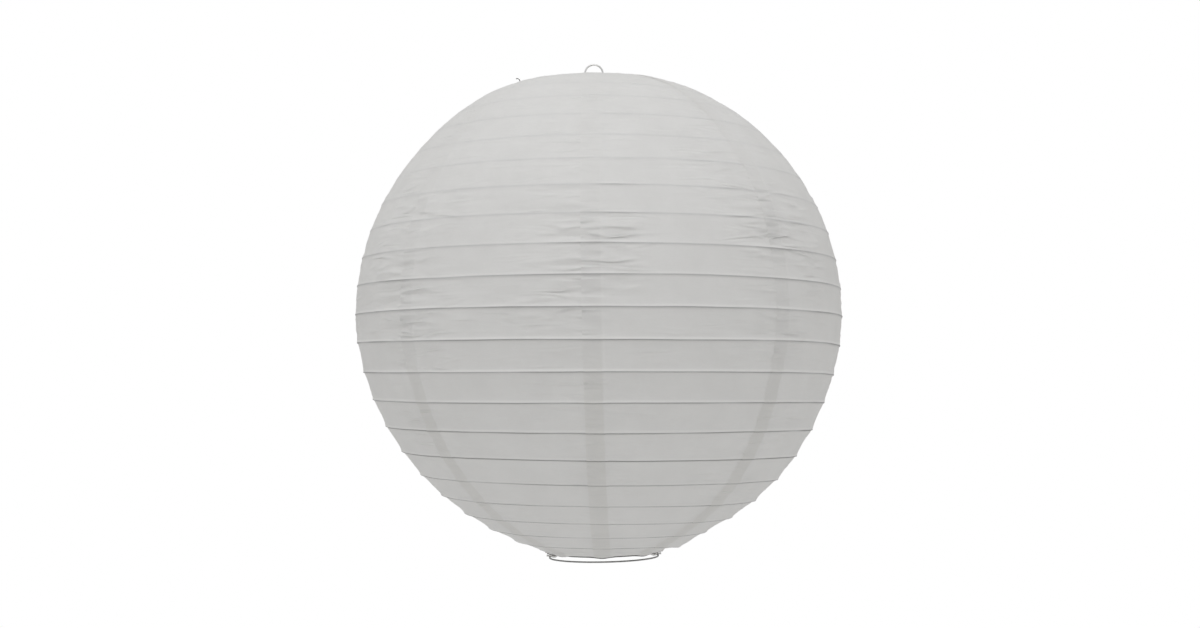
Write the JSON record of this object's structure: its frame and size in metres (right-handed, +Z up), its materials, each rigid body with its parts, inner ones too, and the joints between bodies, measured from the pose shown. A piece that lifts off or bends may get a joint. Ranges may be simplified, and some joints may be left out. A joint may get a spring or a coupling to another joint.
{
  "type": "paper lantern",
  "caption": "Round white paper lantern: glued paper gores on a spiral rib wire, a steel ring at each opening and a sprung wire expander with a hanging loop.",
  "frame": {"origin": "under the crown of the hanging loop, where a hook or cord bears", "axes": "+Z up, +X along the expander's crossbar towards its right leg, the side shown in the picture faces -Y"},
  "size_m": [0.3498, 0.3498, 0.3591],
  "materials": {
    "paper": "matt translucent white tissue paper, slightly wrinkled",
    "rib_wire": "plain drawn steel wire",
    "ring_wire": "grey galvanised wire",
    "expander_wire": "bright galvanised spring wire"
  },
  "bodies": {
    "expander": {"expander_crossbar": "expander_wire"},
    "left_leg": {"expander_left_leg": "expander_wire"},
    "right_leg": {"expander_right_leg": "expander_wire"},
    "shade": {"gore_1": "paper", "gore_2": "paper", "gore_3": "paper", "gore_4": "paper", "gore_5": "paper", "gore_6": "paper", "gore_7": "paper", "gore_8": "paper", "rib_wire": "rib_wire", "top_ring": "ring_wire"},
    "bottom_ring": {"bottom_ring": "ring_wire"}
  },
  "joints": [
    {"name": "shade_turn", "type": "hinge", "parent": "expander", "child": "shade", "pos_m": [0, 0, -0.01335], "axis": [0, 0, 1], "range_deg": [-5, 110]},
    {"name": "collapse", "type": "slide", "parent": "shade", "child": "bottom_ring", "axis": [0, 0, 1], "range_m": [0, 0.31], "deforming": ["gore_1", "gore_2", "gore_3", "gore_4", "gore_5", "gore_6", "gore_7", "gore_8", "rib_wire"]},
    {"name": "left_leg_flex", "type": "hinge", "parent": "expander", "child": "left_leg", "pos_m": [-0.033, 0, -0.02438], "axis": [0, -1, 0], "range_deg": [0, 2], "stiffness_Nm_per_rad": 0.25},
    {"name": "right_leg_flex", "type": "hinge", "parent": "expander", "child": "right_leg", "pos_m": [0.033, 0, -0.02438], "axis": [0, 1, 0], "range_deg": [0, 2], "stiffness_Nm_per_rad": 0.25}
  ]
}
